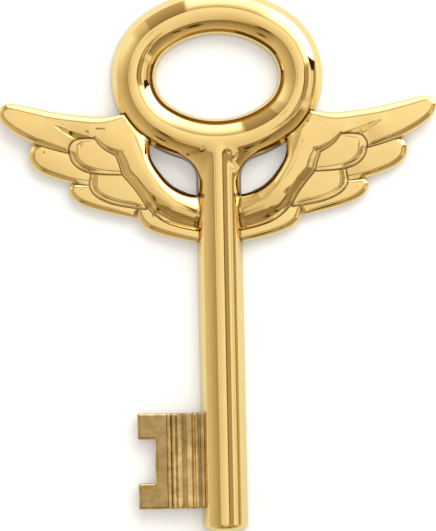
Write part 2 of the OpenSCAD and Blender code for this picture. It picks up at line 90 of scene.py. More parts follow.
def oval_point(angle, out):
    """A point beside the band's middle line, at the angle of its normal above the horizontal."""
    if abs(math.sin(angle)) < math.sin(JOINT_ANGLE):
        centre = (math.copysign(END_X, math.cos(angle)), BOW_Z)
        radius = OPENING_END_R + BAND_R + out
    else:
        centre = (0, BOW_Z - math.copysign(SIDE_Z, math.sin(angle)))
        radius = SIDE_R + BAND_R + out
    return (centre[0] + radius * math.cos(angle), centre[1] + radius * math.sin(angle))


def held(value):
    """The value held between 0 and 1."""
    return np.clip(value, 0, 1)


def nearest_on(points, line):
    """The distance from each point to a line of points, and the line's other columns there."""
    start, step = line[:-1], np.diff(line, axis=0)
    length = np.maximum((step[:, :2] ** 2).sum(1), 1e-12)
    gaps, columns = [], []
    for block in np.array_split(points, len(points) // 4000 + 1):
        away = block[:, None, :] - start[None, :, :2]
        along = held((away * step[None, :, :2]).sum(2) / length)
        gap = ((away - along[:, :, None] * step[None, :, :2]) ** 2).sum(2)
        best = gap.argmin(1)
        here = np.arange(len(block)), best
        gaps.append(np.sqrt(gap[here]))
        columns.append(start[best, 2:] + along[here][:, None] * step[best, 2:])
    return np.concatenate(gaps), np.concatenate(columns)


def distance(points, line):
    """The distance from each point to a line of points."""
    return nearest_on(points, line)[0]


def closed(loop):
    """The loop with its first point again at the end."""
    return np.concatenate([loop, loop[:1]])


def with_column(line, value):
    """The line with the value as one more column."""
    return np.column_stack([line, np.full(len(line), value)])


def inside(points, loop):
    """Which of the points lie inside a closed loop."""
    x, z = points[:, :1], points[:, 1:2]
    ax, az = loop[:, 0], loop[:, 1]
    bx, bz = np.roll(ax, -1), np.roll(az, -1)
    rise = np.where(bz == az, 1e-12, bz - az)
    crossed = ((az > z) != (bz > z)) & (x < (bx - ax) * (z - az) / rise + ax)
    return crossed.sum(1) % 2 == 1


def resample(line, gap):
    """The line at even steps of about gap, with all its columns."""
    run = np.concatenate([[0], np.cumsum(np.hypot(*np.diff(line[:, :2], axis=0).T))])
    at = np.linspace(0, run[-1], max(int(run[-1] / gap), 2) + 1)
    return np.column_stack([np.interp(at, run, column) for column in line.T])


def band_distance(points):
    """Distance outwards from the middle line of the oval band."""
    x, z = np.abs(points[:, 0]), np.abs(points[:, 1] - BOW_Z)
    to_end = np.hypot(x - END_X, z) - OPENING_END_R - BAND_R
    to_side = np.hypot(x, z + SIDE_Z) - SIDE_R - BAND_R
    return np.where(np.arctan2(z + SIDE_Z, x) < JOINT_ANGLE, to_end, to_side)


def body_field(points, height):
    """Signed distance to the bow and shank: below zero inside the metal, with soft crotches.
    Their blend widens with height and narrows to a crease at the top."""
    ring = np.hypot(band_distance(points), height) - BAND_R
    x, z = points[:, 0], points[:, 1]
    across = np.hypot(x, height) - SHANK_R + SHANK_END_R
    along = SHANK_END_Z + SHANK_END_R - z
    shank = np.hypot(np.maximum(across, 0), np.maximum(along, 0)) \
        + np.minimum(np.maximum(across, along), 0) - SHANK_END_R
    cap = np.sqrt(x ** 2 + (z - CREST_Z) ** 2 + height ** 2) - SHANK_R
    shank = np.where(z > CREST_Z, cap, shank)
    climb = held(height / BAND_R)
    fade = held((climb - 0.5) / 0.5)
    blend = CROTCH_BLEND + CROTCH_CLIMB * (1 - np.sqrt(1 - climb ** 2))
    blend = CROTCH_LEAST + blend * (1 - fade ** 2 * (3 - 2 * fade))
    blend = 0.01 + blend * held((CREST_Z - z) / CREST_FADE)
    overlap = np.maximum(blend - np.abs(ring - shank), 0)
    return np.minimum(ring, shank) - overlap ** 2 / (4 * blend)


def flank_height(inward):
    """Height of the slope beside the bow's opening, inward being a share of the band's half width."""
    return BAND_R * (math.sqrt(1 - FLANK_START ** 2) - FLANK_SLOPE * (inward - FLANK_START))


def body_height(points):
    """Height of the front surface above the land, found by halving."""
    low = np.zeros(len(points))
    high = np.full(len(points), SHANK_R + 1.0)
    for _ in range(28):
        middle = (low + high) / 2
        solid = body_field(points, middle) < 0
        low, high = np.where(solid, middle, low), np.where(solid, high, middle)
    inward = -band_distance(points) / BAND_R
    lip = flank_height(LIP) * np.sqrt(held((1 - inward) / (1 - LIP)))
    flank = np.where(inward > LIP, lip, flank_height(inward))
    top = np.minimum(low, SHANK_R - CREST_TRIM)
    return np.where((inward > FLANK_START) & (inward < 1.01), flank, top)


def settle(line):
    """Moves the body's outline onto its blended surface."""
    line = line.copy()
    reach = 0.02
    for _ in range(6):
        slope = np.column_stack([
            (body_field(line + step, 0) - body_field(line - step, 0)) / (2 * reach)
            for step in ((reach, 0), (0, reach))])
        size = np.maximum((slope ** 2).sum(1), 0.2)
        line -= slope * (body_field(line, 0) / size)[:, None]
    return line


def body_outline():
    """The outer outline, anticlockwise from the left crotch's side round the bow."""
    crotch_x = SHANK_R + CROTCH_R
    reach = SIDE_R + 2 * BAND_R + CROTCH_R
    crotch_z = BOW_Z + SIDE_Z - math.sqrt(reach ** 2 - crotch_x ** 2)
    touch = math.asin(crotch_x / reach)
    right = [(0, SHANK_END_Z)]
    right += [(SHANK_R - SHANK_END_R + SHANK_END_R * math.sin(a), SHANK_END_Z + SHANK_END_R
               - SHANK_END_R * math.cos(a)) for a in np.linspace(0, math.pi / 2, 9)]
    right += [(SHANK_R, crotch_z)]
    right += [(crotch_x - CROTCH_R * math.cos(a), crotch_z + CROTCH_R * math.sin(a))
              for a in np.linspace(0.1, math.pi / 2 - touch, 12)]
    right += [oval_point(a, BAND_R) for a in np.linspace(touch - math.pi / 2 + 0.03, math.pi / 2, 90)]
    right = np.array(right)
    left = right[::-1][1:] * (-1, 1)
    line = np.concatenate([right, left])
    for _ in range(3):
        line = settle(resample(line, 0.6))
    return line[:-1]


def normals(loop):
    """Unit normals to the left of a loop, which point into it where it runs anticlockwise."""
    ahead = np.roll(loop, -1, axis=0)[:, :2] - np.roll(loop, 1, axis=0)[:, :2]
    return np.column_stack([-ahead[:, 1], ahead[:, 0]]) / np.hypot(*ahead.T)[:, None]


def rows_beside(line, shares, keep=0.93):
    """Points in rows inside a closed loop. Its third column is the width of the rows."""
    rows = []
    for share in shares:
        offset = share * line[:, 2:3]
        row = line[:, :2] + normals(line) * offset
        rows.append(row[distance(row, closed(line)) >= keep * offset[:, 0]])
    return np.concatenate(rows)


def grid_inside(loop, gap):
    """Staggered points inside a loop."""
    low, high = loop[:, :2].min(0), loop[:, :2].max(0)
    x, z = np.meshgrid(np.arange(low[0], high[0], gap), np.arange(low[1], high[1], gap * 0.866))
    x = x + (np.arange(len(x)) % 2)[:, None] * gap / 2
    points = np.column_stack([x.ravel(), z.ravel()])
    return points[inside(points, loop)]


def triangles(points, loops, taken=()):
    """Triangles over the first loop, apart from the other loops and the taken ones."""
    coords = [tuple(p) for p in points]
    faces = []
    for loop in list(loops) + list(taken):
        faces.append(list(range(len(coords), len(coords) + len(loop))))
        coords += [(p[0], p[1]) for p in loop]
    out = delaunay_2d_cdt(coords, [], faces, 0, 1e-5)
    kept = [face for face, owners in zip(out[2], out[5]) if 0 in owners and len(owners) == 1]
    return np.array([(c[0], c[1]) for c in out[0]]), largest_patch(np.array(kept))


def largest_patch(faces):
    """The largest set of triangles that hang together by their edges."""
    owner = {}
    for k, face in enumerate(faces.tolist()):
        for i in range(3):
            owner.setdefault(frozenset((face[i], face[(i + 1) % 3])), []).append(k)
    beside = [[] for _ in faces]
    for pair in owner.values():
        if len(pair) == 2:
            beside[pair[0]].append(pair[1])
            beside[pair[1]].append(pair[0])
    left, best = set(range(len(faces))), []
    while left:
        patch, queue = [], [left.pop()]
        while queue:
            here = queue.pop()
            patch.append(here)
            queue += [k for k in beside[here] if k in left]
            left.difference_update(beside[here])
        best = max(best, patch, key=len)
    return faces[sorted(best)]


def loops_of(faces):
    """The edges that only one triangle uses, joined into loops."""
    edges = {(f[i], f[(i + 1) % 3]) for f in faces.tolist() for i in range(3)}
    after = {}
    for a, b in edges:
        if (b, a) not in edges:
            after.setdefault(a, []).append(b)
    loops = []
    while after:
        start = next(iter(after))
        loop, here = [], start
        while here in after:
            loop.append(here)
            step = after[here].pop()
            if not after[here]:
                del after[here]
            here = step
        loops.append(loop)
    return loops


def anticlockwise(ring, coords):
    """The ring turned so that it runs anticlockwise in the X and Z plane."""
    x, z = np.array([coords[i] for i in ring]).T
    area = (x * np.roll(z, -1) - np.roll(x, -1) * z).sum()
    return ring if area > 0 else ring[::-1]


def in_scene(name, data):
    """A new object with that data, in the scene."""
    thing = bpy.data.objects.new(name, data)
    bpy.context.scene.collection.objects.link(thing)
    return thing


def new_piece(name, vertices, faces):
    """A named object in metres, from vertices in millimetres."""
    mesh = bpy.data.meshes.new(name)
    mesh.from_pydata((np.array(vertices, float) * MM).tolist(), [], faces)
    mesh.update()
    return in_scene(name, mesh)


def stacked(name, vertices, n):
    """A closed piece from rings of n vertices each, joined in turn, with a cap at either end."""
    faces = [list(range(n))[::-1], list(range(len(vertices) - n, len(vertices)))]
    for row in range(0, len(vertices) - n, n):
        faces += [[row + i, row + (i + 1) % n, row + n + (i + 1) % n, row + n + i] for i in range(n)]
    return new_piece(name, vertices, faces)


def casting(name, flat, kept, height, back):
    """A closed casting: a modelled front over flat triangles, upright sides and a flat back."""
    vertices = [(x, -h, z) for (x, z), h in zip(flat, height)]
    faces = [list(f) for f in kept]
    rims = []
    for loop in loops_of(kept):
        rim = list(range(len(vertices), len(vertices) + len(loop)))
        vertices += [(flat[i][0], -back, flat[i][1]) for i in loop]
        for i in range(len(loop)):
            j = (i + 1) % len(loop)
            faces.append([loop[j], loop[i], rim[i], rim[j]])
        rims.append(rim)
    rims.sort(key=lambda rim: -np.ptp([vertices[i][0] for i in rim]))
    coords, names, rings = [], [], []
    for rim in rims:
        rings.append(list(range(len(coords), len(coords) + len(rim))))
        coords += [(vertices[i][0], vertices[i][2]) for i in rim]
        names += rim
    rings = [anticlockwise(ring, coords) for ring in rings]
    out = delaunay_2d_cdt(coords, [], rings, 0, 1e-6)
    for face, owners in zip(out[2], out[5]):
        if owners == [0]:
            faces.append([names[out[3][i][0]] for i in reversed(face)])
    return new_piece(name, vertices, faces)


# Cutters start this far behind the back. A screw is its diameter, its head's and its length.
PAST = 1.0
SCREW_GAP = 0.05
FLAT_RIM = 0.2
PLATE_SCREW = (3.0, 5.5, 5.6)
SMOOTH_UNDER = math.radians(48)


def prism(outline, depth):
    """A cutter of that outline, from behind the back to a depth."""
    ring = [(x, PAST, z) for x, z in outline] + [(x, -depth, z) for x, z in outline]
    return stacked("cutter", ring, len(outline))


def lathe(x, z, profile, steps=32):
    """A round cutter along Y at x, z, from (radius, depth) pairs."""
    turns = [2 * math.pi * k / steps for k in range(steps)]
    ring = [(x + r * math.cos(a), -depth, z + r * math.sin(a)) for r, depth in profile for a in turns]
    return stacked("cutter", ring, steps)


def screw_hole(x, z, d, head_d, length):
    """A countersunk hole from the back."""
    r, sink = d / 2 + SCREW_GAP, head_d / 2 + SCREW_GAP
    return lathe(x, z, [(sink, -PAST), (sink, FLAT_RIM), (r, FLAT_RIM + sink - r),
                        (r, length + SCREW_GAP)])


def cut(piece, cutters):
    """Cuts the cutters out of the piece, closes what the cut leaves open and keeps its edges crisp."""
    for cutter in cutters:
        modifier = piece.modifiers.new("cut", "BOOLEAN")
        modifier.object = cutter
        modifier.solver = "EXACT"
    bpy.context.view_layer.update()
    evaluated = piece.evaluated_get(bpy.context.evaluated_depsgraph_get())
    mesh = bpy.data.meshes.new_from_object(evaluated)
    piece.modifiers.clear()
    piece.data = mesh
    work = bmesh.new()
    work.from_mesh(mesh)
    bmesh.ops.holes_fill(work, edges=[e for e in work.edges if len(e.link_faces) == 1], sides=8)
    bmesh.ops.recalc_face_normals(work, faces=work.faces)
    work.to_mesh(mesh)
    work.free()
    mesh.polygons.foreach_set("use_smooth", [True] * len(mesh.polygons))
    mesh.set_sharp_from_angle(angle=SMOOTH_UNDER)
    for cutter in cutters:
        bpy.data.objects.remove(cutter)


ROLL_SHARES = [1 - math.cos(math.radians(a)) for a in range(4, 89, 4)]
LIP_SHARES = [1 - LIP - 0.006, 1 - LIP + 0.006, 1 - FLANK_START]

outer = body_outline()
opening = np.array([oval_point(a, -BAND_R) for a in np.linspace(0, 2 * math.pi, 241)[:-1]])
fill = grid_inside(outer, 0.8)
fill = fill[~inside(fill, opening)]
for line in (outer, opening):
    fill = fill[distance(fill, closed(line)) > BAND_R + 0.5]
body_points = np.concatenate([
    rows_beside(with_column(outer, BAND_R), ROLL_SHARES),
    rows_beside(with_column(opening[::-1], BAND_R), ROLL_SHARES + LIP_SHARES), fill])
body_flat, body_faces = triangles(body_points, [outer, opening])
body = casting("bow_and_shank_cast", body_flat, body_faces, LAND + body_height(body_flat), 0)
body_form = body.data.copy()

# The pockets for the plates' tabs, their screws, and the two tapped holes that fix the key.
TAB_GAP = 0.15
PLATE_T = 1.5
SHANK_TAB_W = 15.0
BOW_TAB_ANGLE = math.radians(43)
BOW_TAB_REACH = 7.4
BOW_TAB_W = 8.5
WING_TAB_Z = BOW_Z - 52.4
BIT_TOP_Z = BOW_Z - 123.9
BIT_H = 35.4
BIT_TAB_INSET = 4.2
BIT_TAB_Z = BIT_TOP_Z - BIT_TAB_INSET - SHANK_TAB_W / 2
TAB_SCREW_X = SHANK_R / 2
SCREW_PITCH = 8.0
HEAD_MARGIN = 0.35
FIXING_R = 1.65
FIXING_DEPTH = 6.5
FIXING_Z = 64.0


def shank_tab(z, side):
    """The pocket of a plate's tab in the shank's back, out through its side."""
    far, half = side * (SHANK_R + PAST), SHANK_TAB_W / 2 + TAB_GAP
    return prism([(0, z - half), (far, z - half), (far, z + half), (0, z + half)][::side],
                 PLATE_T + TAB_GAP)


def bow_tab(side):
    """The pocket of the wing plate's tab in the back of the bow's flank."""
    inner = np.array(oval_point(-BOW_TAB_ANGLE, BAND_R - BOW_TAB_REACH - TAB_GAP))
    out = np.array([math.cos(BOW_TAB_ANGLE), -math.sin(BOW_TAB_ANGLE)])
    across = np.array([-out[1], out[0]]) * (BOW_TAB_W / 2 + TAB_GAP)
    far = inner + out * (BOW_TAB_REACH + PAST)
    ring = [inner - across, far - across, far + across, inner + across]
    return prism([(side * x, z) for x, z in ring][::side], PLATE_T + TAB_GAP)


bow_screw = oval_point(-BOW_TAB_ANGLE, BAND_R - BOW_TAB_REACH + PLATE_SCREW[1] / 2 + HEAD_MARGIN)
plate_screws = [(side * x, z) for side in (-1, 1) for x, z in [
    (TAB_SCREW_X, WING_TAB_Z + SCREW_PITCH / 2), (TAB_SCREW_X, WING_TAB_Z - SCREW_PITCH / 2),
    bow_screw]]
plate_screws += [(-TAB_SCREW_X, BIT_TAB_Z + step) for step in (SCREW_PITCH / 2, -SCREW_PITCH / 2)]
cut(body, [shank_tab(WING_TAB_Z, 1), shank_tab(WING_TAB_Z, -1), shank_tab(BIT_TAB_Z, -1),
           bow_tab(1), bow_tab(-1)]
    + [screw_hole(x, z, *PLATE_SCREW) for x, z in plate_screws]
    + [lathe(0, z, [(FIXING_R, -PAST), (FIXING_R, FIXING_DEPTH)]) for z in (FIXING_Z, -FIXING_Z)])

# The wings.
# Each is an arm that curls past the bow into the longest feather, with five more feathers
# fitted round it, all cast with sloping rims, polished and screwed from behind to a plate.
# Outline points are the distance out from the shank, the distance below the bow's centre and the
# width of the rim there. A rim's crease is the slope with which it leaves the face.
ARM_INNER = [[-2.2, 43.9, 0.9], [1.2, 43.3, 1.8], [4.1, 42.3, 2.4], [8.7, 39.8, 2.6],
             [13.1, 35.1, 2.8], [16.4, 29.4, 2.6]]
ARM_LEADING = [[34, 14.1, 2.2], [42, 13.5, 2.3], [52, 12.0, 2.3], [61.7, 9.8, 2.1],
               [68.3, 8.5, 1.8], [71.5, 9.9, 1.5], [72.3, 12.4, 1.5], [70.9, 15.8, 1.8],
               [66.8, 19.4, 2.1], [60.2, 23.1, 2.1], [53.7, 25.5, 2.0], [46.6, 27.5, 1.4]]
SHOULDER = [[46.6, 27.5, 3.1], [46.5, 25.3, 3.0], [45.6, 23.5, 2.6], [44.0, 22.3, 1.9],
            [40.6, 21.9, 1.3], [37.1, 22.0, 0.9]]
ARM_STEP = [[37.1, 22.0, 0.9], [35.0, 24.9, 1.3], [32.3, 27.0, 1.7], [29.4, 28.6, 2.2]]
ARM_FOOT = [[29.4, 28.6, 2.8], [28.2, 32.1, 3.3], [27.1, 35.7, 3.4], [24.1, 39.3, 3.5],
            [21.0, 43.5, 3.5], [19.0, 46.8, 3.5], [15.8, 50.5, 3.4], [11.4, 53.6, 3.2],
            [6.9, 55.3, 3.0], [2.0, 56.5, 2.6], [-2.2, 57.2, 1.6]]
UPPER_COVERT_RIM = [[46.6, 27.5, 3.1], [45.9, 30.0, 3.0], [44.1, 32.3, 2.8], [41.3, 34.1, 2.5],
                    [37.6, 35.1, 2.2], [32.6, 35.6, 1.7], [26.6, 35.8, 1.4]]
UPPER_COVERT_HIDDEN = [[26.0, 31.0, 0.5], [32.0, 24.5, 0.5], [37.1, 22.0, 0.5]]
LOWER_COVERT_RIM = [[36.0, 29.5, 0.8], [38.8, 32.4, 1.8], [39.0, 35.8, 2.7], [39.5, 38.9, 2.9],
                    [38.9, 41.1, 2.7], [37.0, 43.5, 2.4], [33.1, 45.7, 2.3], [28.6, 47.1, 2.3],
                    [23.1, 48.1, 2.2], [18.2, 48.7, 0.8]]
LOWER_COVERT_HIDDEN = [[18.6, 43.5, 0.5], [27.0, 33.0, 0.5], [36.0, 29.5, 0.5]]
MIDDLE_RIM = [[55.6, 21.8, 2.0], [59.6, 23.6, 2.0], [61.2, 25.6, 2.0], [61.6, 27.9, 2.0],
              [61.0, 30.6, 2.1], [59.1, 33.0, 2.1], [56.1, 34.9, 2.1], [52.4, 36.4, 2.1],
              [47.6, 37.9, 2.0], [43.1, 38.9, 1.9], [36.6, 39.6, 1.7]]
MIDDLE_HIDDEN = [[38.0, 30.0, 0.5], [45.0, 24.0, 0.5], [55.6, 21.8, 0.5]]
LOWER_RIM = [[36.0, 39.3, 0.8], [41.0, 38.8, 1.2], [45.2, 38.6, 1.4], [46.8, 40.2, 1.4],
             [46.6, 42.4, 1.7], [44.9, 44.8, 1.9], [41.4, 46.8, 1.9], [36.2, 48.6, 1.9],
             [29.6, 50.3, 1.8], [22.8, 51.6, 0.9]]
LOWER_HIDDEN = [[21.0, 48.0, 0.5], [28.0, 43.0, 0.5], [36.0, 39.3, 0.5]]
ROOT_RIM = [[20.0, 45.0, 0.6], [22.0, 47.6, 1.3], [22.2, 50.2, 1.9], [21.5, 52.7, 2.1],
            [19.7, 54.9, 2.1], [17.0, 56.6, 2.1], [13.2, 58.1, 2.1], [8.6, 59.3, 1.9],
            [4.1, 60.3, 1.7], [0, 61.1, 1.5], [-2.2, 61.6, 0.9]]
ROOT_HIDDEN = [[-2.2, 61.6, 0.8], [-2.2, 56.0, 0.8], [12.0, 50.5, 0.5], [20.0, 45.0, 0.5]]
LEAF_UPPER = [[52.4, 16.6], [44.6, 19.4], [38.4, 21.4], [37.0, 22.7]]
LEAF_LOWER = [[37.0, 22.7], [43.6, 22.5], [48.6, 19.5], [52.4, 16.6]]
ARM_CREST = [[0, 49.4], [7.6, 46.6], [14.4, 41.2], [19.4, 34.6], [25.2, 26.2], [33, 20.2],
             [45, 19.5], [56, 20.5], [66, 17.5]]
ROLL_STEPS = [0.02, 0.07, 0.16, 0.28, 0.42, 0.56, 0.7, 0.81, 0.88, 0.94, 1.0, 1.06, 1.12, 1.2]
SEAT = [math.radians(a) for a in np.linspace(56, 29, 10)]
SEAT_LAP = 1.8
DOME = 0.002
FOOT = PLATE_T + 0.6
CROWN_W = 6.0
ARM_RISE = 8.2
ARM_ROOT_FALL = 2.5
SHOULDER_DIP = 0.7
LEAF_DEPTH = 0.2
LEAF_SLANT = 0.45
RIM_CREASE = 0.3
FOOT_CREASE = 0.45
RIM_SLOPE = 1.04
RIM_EDGE = 0.13
BEAD_RISE = 0.24
GROOVE_W = 0.13
GROOVE_DEPTH = 0.1


def placed(points):
    """Points of the right wing, in millimetres in the frame's X and Z."""
    points = np.array(points, float)
    points[:, 0] += SHANK_R + SEAM
    points[:, 1] = BOW_Z - points[:, 1]
    return points


def spline(points, gap=0.45):
    """A smooth curve through the points, at even steps."""
    p = np.concatenate([points[:1], points, points[-1:]])
    t = (np.arange(12) / 12)[:, None]
    curve = [0.5 * (2 * b + (c - a) * t + (2 * a - 5 * b + 4 * c - d) * t ** 2
                    + (3 * b - a - 3 * c + d) * t ** 3)
             for a, b, c, d in zip(p[:-3], p[1:-2], p[2:-1], p[3:])]
    return resample(np.concatenate(curve + [points[-1:]]), gap)


def rim(points, crease=RIM_CREASE):
    """Outline points with their rim's crease as one more column."""
    return placed([p + [crease] for p in points])


def tucked(points, hidden, crease=RIM_CREASE):
    """A feather's rim, and the way back under what lies over it."""
    return spline(rim(points, crease)), rim(points[-1:] + hidden)


def grown(loop, gap):
    """The loop moved out by a gap."""
    return loop[:, :2] - gap * normals(loop)


def crown_fall(away, crown):
    """How far a crowned face has fallen at a distance from its crest."""
    share = (away / CROWN_W) ** 2
    return crown * share / (1 + 0.3 * share)


def crowned(rise, axis, crown):
    """A feather's face: a low dome that is longer than it is wide."""
    line = placed(axis)
    middle = line.mean(0)

    def face(points):
        away = distance(points, line)
        along = ((points - middle) ** 2).sum(1) - away ** 2
        return rise - crown_fall(away, crown) - DOME * along
    return face


def arm_face(points):
    """A round band at the shank, which flattens outwards into the longest feather, with a dip
    beside the upper covert and a leaf-shaped recess."""
    x = points[:, 0]
    near_root = held((31 - x) / 12)
    face = ARM_RISE - 0.02 * x - 0.025 * np.maximum(x - 45, 0)
    face -= crown_fall(distance(points, placed(ARM_CREST)), 0.5 + 2.5 * near_root)
    face -= ARM_ROOT_FALL * held((24 - x) / 16) ** 1.5
    to_covert = distance(points, placed(SHOULDER[:-1]))
    face -= SHOULDER_DIP * held((x - 47) / 8) * np.exp(-(to_covert / 5) ** 2)
    to_upper, to_lower = distance(points, leaf_upper), distance(points, leaf_lower)
    to_tip = np.hypot(*(points - leaf_upper[0]).T)
    across = to_upper / np.maximum(to_lower + to_upper, 1e-6)
    depth = (LEAF_DEPTH + LEAF_SLANT * across) * held((1 - across) / 0.1) \
        * held(to_tip / 6)
    return face - np.where(inside(points, leaf), depth, 0)


def rim_at(piece, points):
    """Distance from the edge, the rim's width, crease and base, and how deep its groove is."""
    gap, columns = nearest_on(points, closed(piece["outline"]))
    width, crease, base = columns.T
    groove = np.exp(-((gap - width) / GROOVE_W) ** 2) * held(crease / RIM_CREASE) \
        * held((width - 0.9) / 0.4)
    return gap, width, crease, base, groove


def relief(piece, points):
    """Height of a cast piece's front at points in its outline."""
    gap, width, crease, base, groove = rim_at(piece, points)
    share = held(1 - gap / width)
    turn = held((share - 0.78) / 0.22)
    drop = crease * share + (RIM_SLOPE - crease) / 2 * share ** 2 \
        + RIM_EDGE * (1 - np.sqrt(1 - turn ** 2))
    whole = crease + (RIM_SLOPE - crease) / 2 + RIM_EDGE
    face = piece["face"](points)
    depth = np.minimum(width * whole, np.maximum(face - base, 0))
    bead = held(1 - ((gap - 0.6) / 0.5) ** 2) * (crease > RIM_CREASE + 0.1)
    return face - depth * drop / whole + BEAD_RISE * np.sqrt(bead) - GROOVE_DEPTH * groove


def seat_on(piece, lower):
    """Lets a rim's edge follow what lies beside it: the lower pieces, and the bow and shank."""
    outline = piece["outline"]
    beside = grown(outline, 0.3)
    base = np.full(len(outline), FOOT)
    for other in lower:
        there = inside(beside, other["outline"])
        if there.any():
            base[there] = np.maximum(base[there], relief(other, beside[there]))
    on_body = body_field(outline[:, :2], 0) < 0
    if on_body.any():
        base[on_body] = LAND + body_height(outline[on_body, :2])
    blur = np.exp(-np.linspace(-2, 2, 9) ** 2)
    base = np.convolve(np.concatenate([base[-4:], base, base[:4]]), blur / blur.sum(), "valid")
    piece["outline"] = np.column_stack([outline[:, :4], base])


def feather(lines, face):
    """A piece of the wing, from lines drawn clockwise. Its outline runs anticlockwise, and its
    rim stands on its foot until it is seated on the others."""
    outline = np.concatenate([line[:-1] for line in lines])[::-1]
    return {"outline": with_column(outline, FOOT), "face": face}


leaf_upper, leaf_lower = spline(placed(LEAF_UPPER)), spline(placed(LEAF_LOWER))
leaf = np.concatenate([leaf_upper[:-1], leaf_lower[:-1]])
shoulder = spline(rim([p[:2] + [0.1] for p in SHOULDER]))
seat = np.array([oval_point(-a, BAND_R - SEAT_LAP) + (1.2, RIM_CREASE) for a in SEAT])
wing = {
    "wing_arm": feather([
        spline(np.concatenate([rim(ARM_INNER, 0), seat[:1]])), seat,
        spline(np.concatenate([seat[-1:], rim(ARM_LEADING)])), shoulder,
        spline(rim(ARM_STEP)), spline(rim(ARM_FOOT, FOOT_CREASE)),
        rim([[-2.2, 57.2, 0.3], [-2.2, 50, 0.3], [-2.2, 43.9, 0.3]])], arm_face),
    "upper_covert": feather(
        [spline(rim(SHOULDER))[::-1], *tucked(UPPER_COVERT_RIM, UPPER_COVERT_HIDDEN, FOOT_CREASE)],
        crowned(5.9, [[32, 30.5], [37, 28.5], [42, 26.5]], 0.3)),
    "lower_covert": feather(
        tucked(LOWER_COVERT_RIM, LOWER_COVERT_HIDDEN, FOOT_CREASE),
        crowned(5.3, [[23, 43.5], [29, 41], [34, 38.5]], 0.22)),
    "middle_primary": feather(
        tucked(MIDDLE_RIM, MIDDLE_HIDDEN),
        crowned(4.7, [[46, 32.5], [51, 30], [56, 28]], 0.5)),
    "lower_primary": feather(
        tucked(LOWER_RIM, LOWER_HIDDEN),
        crowned(4.2, [[32, 46.5], [37, 44.5], [42, 42.5]], 0.22)),
    "root_feather": feather(
        [spline(rim(ROOT_RIM)), rim(ROOT_HIDDEN)],
        crowned(4.7, [[2, 58.2], [8, 57.2], [16, 53.2]], 0.35)),
}
order = list(wing)
for level, name in reversed(list(enumerate(order))):
    below = [wing[other] for other in order[level + 1:]]
    if name == "upper_covert":
        below.append(wing["wing_arm"])
    seat_on(wing[name], below)

FEATHER_SCREW = (2.0, 3.8, 3.3)
FEATHER_SCREWS = {
    "wing_arm": [[5.6, 50.0], [22.6, 31.5], [37.6, 18.2], [55.6, 16.0]],
    "upper_covert": [[33.1, 32.0], [41.4, 27.0]], "lower_covert": [[26.1, 43.2], [33.8, 40.5]],
    "middle_primary": [[45.6, 33.5], [55.1, 30.0]], "lower_primary": [[41.5, 42.7]],
    "root_feather": [[13.9, 54.6]]}
wing_pieces = []
for level, name in enumerate(order):
    piece = wing[name]
    outline = piece["outline"]
    cover = [grown(wing[other]["outline"], SEAM) for other in order[:level]]
    fill = grid_inside(outline, 0.5)
    away, columns = nearest_on(fill, closed(outline))
    points = np.concatenate([rows_beside(outline, ROLL_STEPS),
                             fill[away > 1.2 * columns[:, 0] + 0.25]])
    if name == "wing_arm":
        edge = closed(leaf)
        points = points[distance(points, edge) > 0.5]
        for gap in (0.3, 0.12, -0.03, -0.15, -0.4):
            beside = grown(leaf, gap)
            points = np.concatenate([points, beside[distance(beside, edge) > 0.9 * abs(gap)]])
    flat, faces = triangles(points, [outline[:, :2]], cover)
    height = relief(piece, flat)
    for side, mirrored in (("right", 1), ("left", -1)):
        part = casting(f"{side}_{name}_cast", flat * (mirrored, 1),
                       faces[:, ::mirrored], height, PLATE_T)
        cutters = [screw_hole(mirrored * x, z, *FEATHER_SCREW)
                   for x, z in placed(FEATHER_SCREWS[name])]
        if name in ("wing_arm", "root_feather"):
            cutters.append(in_scene("body_form", body_form))
        cut(part, cutters)
        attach(part, "root")
        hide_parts(f"{side}_{name}")
        wing_pieces.append(part)

# The bit.
# A fluted web lies against the shank, and a C-shaped plate with two teeth and a bead lies
# against the web. Both are cast brass, and their plating is duller than the rest.
WEB_W = 10.9
WEB_X = -(SHANK_R + WEB_W)
WEB_RISE = 5.0
COPE = SHANK_R / 4
INNER_FLUTE_W = 3.3
OUTER_FLUTE_W = 5.0
FLUTE_MARGIN = 0.4
FLUTES = [(SEAM + INNER_FLUTE_W / 2, INNER_FLUTE_W),
          (WEB_W - FLUTE_MARGIN - OUTER_FLUTE_W / 2, OUTER_FLUTE_W)]
FLUTE_DEPTH = 0.9
RIDGE_X = -(SHANK_R + (SEAM + INNER_FLUTE_W + WEB_W - FLUTE_MARGIN - OUTER_FLUTE_W) / 2)
RIDGE_SCREW_INSET = 5.0
EDGE_R = 0.7
TOOTH_ROOT_X = WEB_X - SEAM
TOOTH_PLATE_W = 12.6
TOOTH_END_X = WEB_X - TOOTH_PLATE_W
TOOTH_L = 6.4
NOTCH_X = TOOTH_END_X + TOOTH_L
TOOTH_H = 9.6
TOOTH_RISE = 4.2
TOOTH_RIM = 0.9
TOOTH_CORNER_R = 0.35
BEAD_W = 1.7
BEAD_END = 0.8
BEAD_SUNK = 0.5
BEAD_ROUND = 0.95
BIT_LOW_Z = BIT_TOP_Z - BIT_H


def rounded(share):
    """The rise of a quarter circle, from 0 at its edge to 1 inside."""
    return np.sqrt(1 - (1 - held(share)) ** 2)


def web_front(x):
    """The web's face across the bit: two flutes with a ridge between them, and a round edge."""
    rise = np.full(len(x), WEB_RISE)
    for middle, width in FLUTES:
        across = np.abs(x + SHANK_R + middle) / (width / 2)
        rise -= FLUTE_DEPTH * held(1 - across ** 2) ** 0.8
    return rise - EDGE_R * (1 - rounded((x - WEB_X) / EDGE_R))


